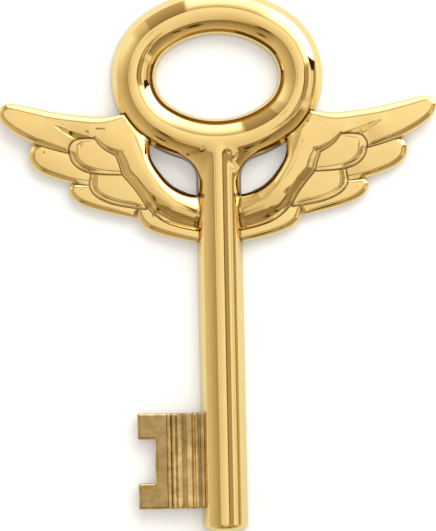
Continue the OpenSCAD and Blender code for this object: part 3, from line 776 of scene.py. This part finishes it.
def bit_web_mesh():
    """The web as cross-sections joined up the bit, coped to fit round the shank."""
    x = np.concatenate([WEB_X + EDGE_R * (1 - np.cos(np.linspace(0, math.pi / 2, 7))),
                        np.arange(WEB_X + EDGE_R + 0.12, -SHANK_R + COPE - 0.95, 0.14)])
    clear = SHANK_R + SEAM
    end_x = -math.sqrt(clear ** 2 - (WEB_RISE - LAND) ** 2)
    x = np.append(x[x < end_x - 0.05], end_x)
    front = web_front(x)
    cope = np.linspace(end_x, -clear, 9)[1:]
    cope_y = LAND + np.sqrt(np.maximum(clear ** 2 - cope ** 2, 0))
    cope_y[-1] = LAND
    edge = [(EDGE_R * (1 - math.cos(a)), EDGE_R * (1 - math.sin(a)))
            for a in np.linspace(0, math.pi / 2, 6)]
    sections = [(BIT_LOW_Z + step, drop) for step, drop in edge]
    sections += [(z, 0) for z in np.linspace(BIT_LOW_Z + 1.5, BIT_TOP_Z - 1.5, 30)]
    sections += [(BIT_TOP_Z - step, drop) for step, drop in edge[::-1]]
    vertices = []
    for z, drop in sections:
        vertices += [(a, -(b - drop), z) for a, b in zip(x, front)]
        vertices += [(a, -min(b, WEB_RISE - drop), z) for a, b in zip(cope, cope_y)]
        vertices += [(-clear, -PLATE_T, z), (WEB_X, -PLATE_T, z)]
    return stacked("bit_web_cast", vertices, len(x) + len(cope) + 2)


def tooth_height(points):
    """Bevelled edges all round, and a bead beside the web."""
    bevel = held(distance(points, closed(tooth_outline)) / TOOTH_RIM)
    rise = TOOTH_RISE - TOOTH_RIM * 0.8 * (1 - (0.4 * bevel + 0.6 * rounded(bevel)))
    across = np.clip((points[:, 0] - TOOTH_ROOT_X + BEAD_W / 2) / (BEAD_W / 2), -1, 1)
    to_end = np.minimum(points[:, 1] - BIT_LOW_Z, BIT_TOP_Z - points[:, 1])
    bead = TOOTH_RISE - BEAD_SUNK + BEAD_ROUND * np.sqrt(1 - across ** 2) \
        - BEAD_END * (1 - rounded(to_end / BEAD_END))
    return np.where(np.abs(across) < 1, bead, rise)


def rounded_corners(corners, r, steps=4):
    """The corners of a loop, each replaced by a small arc."""
    loop = []
    for i, corner in enumerate(corners):
        before = np.array(corners[i - 1]) - corner
        after = np.array(corners[(i + 1) % len(corners)]) - corner
        a, b = before / np.hypot(*before) * r, after / np.hypot(*after) * r
        for k in range(steps + 1):
            t = k / steps
            loop.append(np.array(corner) + a * (1 - t) ** 2 + b * t ** 2)
    return np.array(loop)


web = bit_web_mesh()
tooth_outline = rounded_corners([
    (TOOTH_ROOT_X, BIT_LOW_Z), (TOOTH_ROOT_X, BIT_TOP_Z), (TOOTH_END_X, BIT_TOP_Z),
    (TOOTH_END_X, BIT_TOP_Z - TOOTH_H), (NOTCH_X, BIT_TOP_Z - TOOTH_H),
    (NOTCH_X, BIT_LOW_Z + TOOTH_H), (TOOTH_END_X, BIT_LOW_Z + TOOTH_H), (TOOTH_END_X, BIT_LOW_Z)],
    TOOTH_CORNER_R)
tooth_outline = resample(closed(tooth_outline), 0.3)[:-1]
tooth_points = rows_beside(with_column(tooth_outline, TOOTH_RIM), [0.04, 0.15, 0.35, 0.6, 0.85, 1, 1.1])
tooth_points = tooth_points[tooth_points[:, 0] < TOOTH_ROOT_X - BEAD_W - 0.1]
bead_lines = [(TOOTH_ROOT_X - BEAD_W / 2 + BEAD_W / 2 * across, z)
              for across in (-1.03, -1, -0.95, -0.8, -0.55, -0.25, 0, 0.25, 0.55, 0.8, 0.95)
              for z in np.arange(BIT_LOW_Z + 0.3, BIT_TOP_Z - 0.2, 0.3)]
fill = grid_inside(tooth_outline, 0.6)
fill = fill[(distance(fill, closed(tooth_outline)) > 1.2) & (fill[:, 0] < TOOTH_ROOT_X - BEAD_W - 0.2)]
flat, faces = triangles(np.concatenate([tooth_points, bead_lines, fill]), [tooth_outline])
tooth = casting("bit_tooth_plate_cast", flat, faces, tooth_height(flat), PLATE_T)
tooth_screw_x = (TOOTH_END_X + TOOTH_ROOT_X) / 2
for piece, x, inset in ((web, RIDGE_X, RIDGE_SCREW_INSET), (tooth, tooth_screw_x, TOOTH_H / 2)):
    cut(piece, [screw_hole(x, z, *FEATHER_SCREW) for z in (BIT_TOP_Z - inset, BIT_LOW_Z + inset)])
for part, node in ((body, "bow_and_shank"), (web, "bit_web"), (tooth, "bit_tooth_plate")):
    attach(part, "root")
    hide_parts(node)


# The finishes.
# Gold plate over polished brass: fine wheel marks and a faint haze, with brown painted shade
# in the corners and creases. The bit is duller and its mottled darker colour is painted reflection; the
# plates and screws are bare brass.
def connect(tree, node, links):
    """Sets or links a node's inputs, as (socket, source). A node stands for its first output."""
    for socket, source in links:
        if isinstance(source, bpy.types.Node):
            source = source.outputs[0]
        if isinstance(source, bpy.types.NodeSocket):
            tree.links.new(source, node.inputs[socket])
        else:
            node.inputs[socket].default_value = source


def add_node(tree, kind, links=(), **values):
    """A shader node with its settings and links."""
    node = tree.nodes.new("ShaderNode" + kind)
    for key, value in values.items():
        setattr(node, key, value)
    connect(tree, node, links)
    return node


def polish_group():
    """Marks: fine wheel scratches. Haze: broad soft patches. Swell: the hand-polished waviness."""
    tree = bpy.data.node_groups.new("polish", "ShaderNodeTree")
    scale = tree.interface.new_socket("Scale", in_out="INPUT", socket_type="NodeSocketFloat")
    scale.default_value = 1.0
    for label in ("Marks", "Haze", "Swell"):
        tree.interface.new_socket(label, in_out="OUTPUT", socket_type="NodeSocketFloat")
    source, sink = tree.nodes.new("NodeGroupInput"), tree.nodes.new("NodeGroupOutput")
    place = add_node(tree, "TexCoord").outputs["Object"]
    size = add_node(tree, "VectorMath", [(0, place), ("Scale", source.outputs["Scale"])],
                    operation="SCALE")
    turned = add_node(tree, "Mapping", [
        ("Vector", size), ("Rotation", (0.2, 0.5, 0.7)), ("Scale", (9000, 900, 260))])
    for label, vector, scale, detail, roughness in (
            ("Marks", turned, 1.0, 3.0, 0.6), ("Haze", size, 160.0, 5.0, 0.62),
            ("Swell", size, 55.0, 1.5, 0.4)):
        noise = add_node(tree, "TexNoise", [
            ("Vector", vector), ("Scale", scale), ("Detail", detail), ("Roughness", roughness)])
        tree.links.new(noise.outputs["Fac"], sink.inputs[label])
    return tree


def ramp(tree, factor, *stops):
    """A colour ramp between two stops, each a place and a colour."""
    node = add_node(tree, "ValToRGB", [("Fac", factor)])
    for element, (place, colour) in zip(node.color_ramp.elements, stops):
        element.position = place
        element.color = (*colour, 1)
    return node


def spread(tree, value, low, high, to_low, to_high, kind="LINEAR"):
    """The value moved from one range to another, and held at its ends."""
    return add_node(tree, "MapRange", [
        ("Value", value), ("From Min", low), ("From Max", high), ("To Min", to_low),
        ("To Max", to_high)], interpolation_type=kind)


def plated(name, colours, haze_to, swell_depth, marks_depth, scale=1.0):
    """A metal whose colour and roughness drift a little, with brown painted shade mixed in by each
    vertex's share, and a swell and wheel marks in its normal.
    """
    material = bpy.data.materials.new(name)
    material.use_nodes = True
    tree = material.node_tree
    polish = add_node(tree, "Group", [("Scale", scale)], node_tree=POLISH)
    haze = polish.outputs["Haze"]
    # Brown painted shade, mixed into the colour by each vertex's share of it.
    shade_share = add_node(tree, "Attribute", attribute_name="toning").outputs["Fac"]
    shaded_colour = add_node(tree, "Mix", [
        ("Factor", shade_share), ("A", ramp(tree, haze, (0.35, colours[0]), (0.65, colours[1]))),
        ("B", (*SHADE_BROWN, 1))], data_type="RGBA")
    swell = add_node(tree, "Bump", [
        ("Height", polish.outputs["Swell"]), ("Strength", 1.0), ("Distance", swell_depth)])
    marks = add_node(tree, "Bump", [
        ("Height", polish.outputs["Marks"]), ("Strength", 1.0), ("Distance", marks_depth),
        ("Normal", swell)])
    connect(tree, tree.nodes["Principled BSDF"], [
        ("Metallic", 1.0), ("Base Color", shaded_colour.outputs["Result"]),
        ("Roughness", spread(tree, haze, 0.3, 0.75, *haze_to)), ("Normal", marks)])
    return material


SHADE_BROWN = (0.22, 0.13, 0.045)
POLISH = polish_group()
polished_gold = plated("polished_gold", ((1.0, 0.7, 0.245), (1.0, 0.73, 0.265)),
                       (0.03, 0.08), 0.00006, 0.0000006)
# The bit: duller plating, and a colour that drifts in patches between dark and pale gold, which is
# painted reflection.
worn_gold = plated("worn_gold", ((0.62, 0.41, 0.14), (0.98, 0.7, 0.28)),
                   (0.05, 0.2), 0.00013, 0.000002, 1.6)
plate_brass = plated("plate_brass", ((0.62, 0.45, 0.2), (0.74, 0.56, 0.27)),
                     (0.3, 0.5), 0.00002, 0.000004)
screw_brass = plated("screw_brass", ((0.6, 0.42, 0.18), (0.7, 0.52, 0.25)),
                     (0.2, 0.38), 0.00001, 0.000004, 2.0)


def finish(piece, material, shade_shares=None):
    """Gives the piece its one material and, where it has any, each vertex its share of brown painted
    shade.
    """
    piece.data.materials.clear()
    piece.data.materials.append(material)
    if shade_shares is not None:
        attribute = piece.data.attributes.new("toning", "FLOAT", "POINT")
        attribute.data.foreach_set("value", shade_shares)


def toning(points, height):
    """Brown painted shade and reflection in the corners: on the ring's inner lip, in the small openings
    and where the wings meet the bow and shank."""
    inward = -band_distance(points) / BAND_R
    line = held((inward - FLANK_START + 0.005) / 0.03) \
        * held((LIP + 0.005 - inward) / 0.008)
    corner = held((1.15 - distance(points, small_opening)) / 0.5)
    beside = body_field(points, height)
    for name in ("wing_arm", "root_feather"):
        outline = wing[name]["outline"]
        gap = distance(points, closed(outline))
        joint = held((0.6 - gap) / 0.3) * (beside > -0.05) * (beside < 0.35) \
            * (points[:, 0] > SHANK_R + 2)
        apart = np.maximum(np.abs(relief(wing[name], points) - LAND - height), np.abs(beside))
        at_shank = inside(points, outline) & (points[:, 0] < SHANK_R + 0.4)
        joint = np.maximum(joint, 0.8 * held((0.5 - apart) / 0.25) * at_shank)
        corner = np.maximum(corner, joint)
    return np.maximum(line, corner)


ring_side = outer[(outer[:, 0] > SHANK_R - 0.1) & (outer[:, 1] < BOW_Z - 26)
                  & (outer[:, 1] > BOW_Z - 45) & (band_distance(outer) < BAND_R + 12)]
small_opening = np.concatenate([ring_side, spline(placed(ARM_INNER))[::-1, :2]])
for part in [body] + wing_pieces:
    places = np.array([v.co for v in part.data.vertices]) / MM
    points = np.column_stack([np.abs(places[:, 0]), places[:, 2]])
    shade_shares = toning(points, -places[:, 1] - LAND)
    kind = part.name.partition("_")[2].removesuffix("_cast")
    # On the wings, painted shade also darkens the rims' grooves and the edges that sit on the piece
    # below.
    if kind in wing:
        gap, _, _, base, groove = rim_at(wing[kind], points)
        seam = 0.9 * held((0.45 - gap) / 0.2) * held((base - FOOT - 0.2) / 0.4)
        shade_shares = np.maximum(np.maximum(shade_shares, 0.7 * groove), seam)
    finish(part, polished_gold, shade_shares * (places[:, 1] < -LAND))
crease_x = -(SHANK_R + SEAM + 0.9)
for part in (web, tooth):
    x, y, z = np.array([v.co for v in part.data.vertices]).T / MM
    # Painted reflection and shade on the bit: the tooth plate's face darker inside its bevel, and the
    # web darker towards its top, along its flutes' edges and beside the shank.
    if part == tooth:
        to_edge = distance(np.column_stack([x, z]), closed(tooth_outline))
        shade_shares = 0.55 * held((to_edge - 0.4) / 0.4) * (x < TOOTH_ROOT_X - BEAD_W)
    else:
        down = (BIT_TOP_Z - z) / BIT_H + 0.07 * np.sin(1.9 * x + 0.4) + 0.03 * np.sin(5.3 * x)
        shade_shares = 0.03 + 0.4 * held((0.42 - down) / 0.12) * (x < crease_x)
        shade_shares = np.maximum(shade_shares, 0.5 * (x > crease_x))
        for middle, width in FLUTES:
            to_edge = np.abs(np.abs(x + SHANK_R + middle) - width / 2)
            shade_shares = np.maximum(shade_shares, 0.6 * held(1.5 - to_edge / 0.2))
    finish(part, worn_gold, shade_shares * (y < -PLATE_T))
for node in ("left_wing_plate", "right_wing_plate", "bit_back_plate"):
    finish(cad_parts[node], plate_brass)
for node in ("plate_screws", "feather_screws"):
    finish(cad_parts[node], screw_brass)

# The studio.
# A white wall just behind the key, which can be seen through from its own back, one soft lamp
# for the shadows, a room of soft panels that only reflections see, and the camera.
IMAGE_W, IMAGE_H = 436, 531
PIXEL = 0.37 * MM
CAMERA_AWAY = 1.6
CAMERA_ROLL = math.radians(1.15)
OPENING_PX = (216.6, 77.0)
WALL_HALF = 1500.0
WALL_Y = 0.4
WALL_GLOW = 0.12
WALL_WHITE = (0.78, 0.77, 0.75)
WALL_MIRRORED = (0.56, 0.63, 0.75)
LAMP_AIM = (0, 0, 0.045)


def emission(tree, strength, colour=(1, 1, 1)):
    """A plain light of that strength."""
    return add_node(tree, "Emission", [("Color", (*colour, 1)), ("Strength", strength)])


def wall():
    """White to the camera, with the key's shadow, and clear from behind."""
    corners = [(x * WALL_HALF, WALL_Y, z * WALL_HALF) for x, z in ((-1, -1), (1, -1), (1, 1), (-1, 1))]
    piece = new_piece("wall", corners, [(0, 1, 2, 3)])
    material = bpy.data.materials.new("wall_white")
    material.use_nodes = True
    tree = material.node_tree
    tree.nodes.clear()
    mirrored = add_node(tree, "LightPath").outputs["Is Glossy Ray"]
    colour = add_node(tree, "Mix", [
        ("Factor", mirrored), ("A", (*WALL_WHITE, 1)), ("B", (*WALL_MIRRORED, 1))], data_type="RGBA")
    diffuse = add_node(tree, "BsdfDiffuse", [("Color", colour.outputs["Result"])])
    glow = emission(tree, WALL_GLOW)
    both = add_node(tree, "AddShader", [(0, diffuse), (1, glow)])
    clear = add_node(tree, "BsdfTransparent")
    behind = add_node(tree, "NewGeometry").outputs["Backfacing"]
    mixed = add_node(tree, "MixShader", [(0, behind), (1, both), (2, clear)])
    add_node(tree, "OutputMaterial", [("Surface", mixed)])
    piece.data.materials.append(material)


def softbox(name, azimuth, tilt, width, height, watts, away=0.6):
    """A soft lamp aimed at the key, tilt degrees off its front. Reflections don't see it."""
    light = bpy.data.lights.new(name, "AREA")
    light.shape = "RECTANGLE"
    light.size, light.size_y = width, height
    light.energy = watts
    lamp = in_scene(name, light)
    azimuth, tilt = math.radians(azimuth), math.radians(tilt)
    way = np.array([math.sin(tilt) * math.cos(azimuth), -math.cos(tilt),
                    math.sin(tilt) * math.sin(azimuth)])
    side = np.array([math.sin(azimuth), 0, -math.cos(azimuth)])
    turn = np.column_stack([side, np.cross(way, side), way])
    lamp.matrix_world = Matrix.Translation(way * away + LAMP_AIM) @ Matrix(turn.tolist()).to_4x4()
    lamp.visible_camera = False
    lamp.visible_glossy = False


wall()
softbox("key_light", azimuth=68, tilt=58, width=0.8, height=0.5, watts=4.6)

world = bpy.data.worlds.new("studio")
bpy.context.scene.world = world
world.use_nodes = True
tree = world.node_tree
tree.nodes.clear()


def maths(operation, *values):
    """The outcome of a sum on the world's values."""
    return add_node(tree, "Math", list(enumerate(values)), operation=operation)


def product(*values):
    """The world's values multiplied together."""
    whole = values[0]
    for value in values[1:]:
        whole = maths("MULTIPLY", whole, value)
    return whole


def eased(value, start, end, low=0.0, high=1.0):
    """From low to high as the value goes from start to end."""
    return spread(tree, value, start, end, low, high, "SMOOTHSTEP")


# The room is drawn as a mirror ball in front of the key would show it: the turn round the ball
# in degrees from the right, and the radius from 0 in the middle to 0.71 at the wall.
way = add_node(tree, "TexCoord").outputs["Generated"]
halfway = add_node(tree, "VectorMath", [(0, way), (1, (0, -1, 0))])
halfway = add_node(tree, "VectorMath", [(0, halfway)], operation="NORMALIZE")
apart = add_node(tree, "SeparateXYZ", [(0, halfway)])
ball_x, ball_z = apart.outputs["X"], apart.outputs["Z"]
radius = maths("SQRT", maths("ADD", product(ball_x, ball_x), product(ball_z, ball_z)))
turn = maths("DEGREES", maths("ARCTAN2", ball_z, ball_x))


def fan(middle, half, soft):
    """1 within half a width of a turn, and 0 outside."""
    off = maths("ABSOLUTE", maths("WRAP", maths("SUBTRACT", turn, middle), 180.0, -180.0))
    return eased(off, half - soft, half + soft, 1.0, 0.0)


def panel(level, shade, mask):
    """The level with a panel of that shade over it."""
    return add_node(tree, "Mix", [("Factor", mask), ("A", level), ("B", shade)], data_type="FLOAT")


def sector(level, middle, half, soft, start, end, near, far, edge=0.01):
    """A panel between two turns and two radii, whose shade goes from near to far."""
    mask = product(fan(middle, half, soft), eased(radius, start - edge, start + edge))
    return panel(level, spread(tree, radius, start, end, near, far), mask)


def spot(level, x, z, width, height):
    """A small dark oval with a soft edge."""
    across = maths("DIVIDE", maths("SUBTRACT", ball_x, x), width)
    up = maths("DIVIDE", maths("SUBTRACT", ball_z, z), height)
    off = maths("SQRT", maths("ADD", product(across, across), product(up, up)))
    return panel(level, 0.05, eased(off, 0.5, 1.5, 1.0, 0.0))


# The front is an even glow as far as an edge that sags at the bottom, and darker beyond it.
streaks = add_node(tree, "TexNoise", [
    ("Vector", add_node(tree, "CombineXYZ", [
        (0, product(turn, 0.045)), (1, product(radius, 24.0))])),
    ("Scale", 1.0), ("Detail", 2.0), ("Roughness", 0.6)]).outputs["Fac"]
facing = maths("MAXIMUM", maths("COSINE", maths("RADIANS", maths("ADD", turn, 80.0))), 0.0)
beyond = maths("SUBTRACT", radius, maths("ADD", product(facing, facing, 0.15), 0.2))
diagonal = maths("ADD", ball_x, ball_z)
level = panel(maths("ADD", product(diagonal, 0.7), 0.9), 0.6, eased(beyond, -0.012, 0.012))

# Panels to the left and at the bottom, and streaky clutter to the right.
level = sector(level, 150, 38, 20, 0.2, 0.58, 0.52, 1.1)
level = sector(level, 205, 42, 20, 0.2, 0.62, 0.4, 0.68)
low_shade = eased(beyond, 0.0, 0.3, 0.26, 0.5)
level = panel(level, low_shade, product(fan(-85, 42, 12), eased(beyond, -0.01, 0.01)))
clutter = product(fan(-22, 32, 5), eased(radius, 0.14, 0.17))
level = panel(level, eased(streaks, 0.36, 0.66, 0.2, 1.0), clutter)
for row in ((-16, 19, 2, 0.34, 0.6, 0.85, 0.9), (-45, 17, 3, 0.36, 0.6, 0.24, 0.45),
            (-10, 60, 20, 0.63, 0.7, 0.5, 0.6), (131, 9, 4, 0.2, 0.6, 0.42, 0.8),
            (115, 11, 0.8, 0.19, 0.68, 0.28, 0.55), (57, 47, 1.5, 0.3, 0.6, 1.0, 1.7, 0.08),
            (38, 26, 8, 0.24, 0.5, 1.4, 2.4, 0.03)):
    level = sector(level, *row)

# Upright stripes to the right, which run down the shank, and a pale band low by the wall.
stripes = fan(-3, 15, 5)
for start, shade in ((0.18, 0.15), (0.212, 0.42), (0.38, 0.97), (0.48, 0.76), (0.52, 0.9),
                     (0.575, 0.38), (0.655, 0.56)):
    level = panel(level, shade, product(eased(radius, start - 0.006, start + 0.006), stripes))
pale = product(eased(radius, 0.655, 0.665), eased(radius, 0.69, 0.7, 1.0, 0.0), fan(-95, 75, 5))
level = panel(level, 0.72, pale)

# A black bar, small dark spots, and the wall's edge.
slant = maths("ADD", ball_x, product(ball_z, 0.8))
upright = maths("SUBTRACT", ball_x, product(ball_z, 0.8))
bar = product(eased(ball_z, 0.05, 0.06), eased(ball_z, 0.148, 0.158, 1.0, 0.0),
              eased(slant, 0.525, 0.535), eased(upright, 0.56, 0.57, 1.0, 0.0))
level = panel(level, 0.03, bar)
for place in ((-0.14, -0.23, 0.022, 0.04), (-0.27, -0.45, 0.03, 0.035), (0.12, -0.48, 0.045, 0.05),
              (0.2, -0.42, 0.015, 0.05), (-0.035, 0.06, 0.006, 0.009), (-0.13, 0.03, 0.007, 0.026)):
    level = spot(level, *place)
level = panel(level, 0.85, eased(radius, 0.71, 0.74))

# The brighter a panel is, the cooler its light.
tinted = add_node(tree, "CombineColor", [
    ("Red", level), ("Green", maths("POWER", level, 1.2)),
    ("Blue", product(maths("POWER", level, 1.6), 1.1))])
panels = add_node(tree, "Emission", [("Color", tinted), ("Strength", 1.0)])
room = emission(tree, 0.95, (1, 0.98, 0.94))
backdrop = emission(tree, 1.0)
rays = add_node(tree, "LightPath").outputs
mixed = add_node(tree, "MixShader", [(0, rays["Is Glossy Ray"]), (1, room), (2, panels)])
mixed = add_node(tree, "MixShader", [(0, rays["Is Camera Ray"]), (1, mixed), (2, backdrop)])
add_node(tree, "OutputWorld", [("Surface", mixed)])

camera_data = bpy.data.cameras.new("camera")
camera = in_scene("camera", camera_data)
camera_data.sensor_fit = "VERTICAL"
camera_data.angle_y = 2 * math.atan(IMAGE_H / 2 * PIXEL / CAMERA_AWAY)
camera_data.clip_start = 0.01
right = (IMAGE_W / 2 - OPENING_PX[0]) * PIXEL
down = (OPENING_PX[1] - IMAGE_H / 2) * PIXEL
camera_x = right * math.cos(CAMERA_ROLL) + down * math.sin(CAMERA_ROLL)
camera_z = BOW_Z * MM + down * math.cos(CAMERA_ROLL) - right * math.sin(CAMERA_ROLL)
camera.matrix_world = Matrix.Translation((camera_x, -CAMERA_AWAY, camera_z)) \
    @ Matrix.Rotation(math.pi / 2, 4, "X") @ Matrix.Rotation(-CAMERA_ROLL, 4, "Z")
bpy.context.scene.camera = camera
bpy.context.scene.view_settings.view_transform = "Standard"
